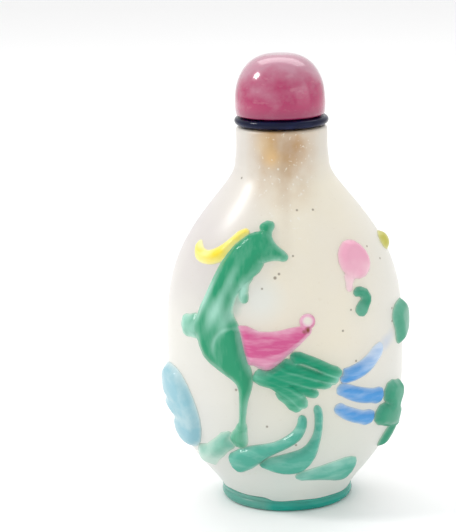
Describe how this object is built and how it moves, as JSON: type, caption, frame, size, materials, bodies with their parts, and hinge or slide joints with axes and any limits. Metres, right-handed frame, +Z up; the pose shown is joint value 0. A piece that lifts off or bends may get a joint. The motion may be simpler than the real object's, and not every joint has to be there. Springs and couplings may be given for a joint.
{
  "type": "snuff bottle",
  "caption": "Small flattened milky glass snuff bottle with a coloured glass relief of a phoenix, leaves and cloud, and a domed stopper with cork and spoon.",
  "frame": {"origin": "middle of the foot's underside, on the surface the bottle stands on", "axes": "+Z up through the neck and stopper, -Y out of the front with the phoenix, +X to the viewer's right of the front"},
  "size_m": [0.041, 0.031, 0.0733],
  "materials": {
    "milky_glass": "polished, slightly cloudy and see-through",
    "foot_glass": "polished",
    "dark_glass": "polished",
    "stopper_glass": "polished, cloudy",
    "cork": "matt",
    "bone": "satin",
    "green_glass": "polished, carved",
    "deep_green_glass": "polished, carved",
    "teal_glass": "polished, carved",
    "pale_green_glass": "polished, carved thin",
    "pink_glass": "polished, carved",
    "pale_pink_glass": "polished, carved",
    "yellow_glass": "polished, carved",
    "olive_glass": "polished, carved",
    "blue_glass": "polished, carved",
    "pale_blue_glass": "polished, carved thin"
  },
  "bodies": {
    "root": {"bottle_body": "milky_glass", "foot": "foot_glass", "collar": "dark_glass", "stopper": "stopper_glass", "cork": "cork", "spoon": "bone", "phoenix": "green_glass", "wing": "pink_glass", "tail": "deep_green_glass", "crest_ribbon": "yellow_glass", "upper_plume": "blue_glass", "middle_plume": "blue_glass", "lower_plume": "blue_glass", "side_branch": "green_glass", "side_leaf": "green_glass", "bud": "olive_glass", "blossom": "pale_pink_glass", "small_leaf": "green_glass", "cloud": "pale_blue_glass", "bent_leaf": "teal_glass", "outer_leaf": "teal_glass", "base_leaf": "teal_glass", "rock": "pale_green_glass", "back_spray": "green_glass", "back_blossom": "pink_glass"}
  },
  "joints": []
}
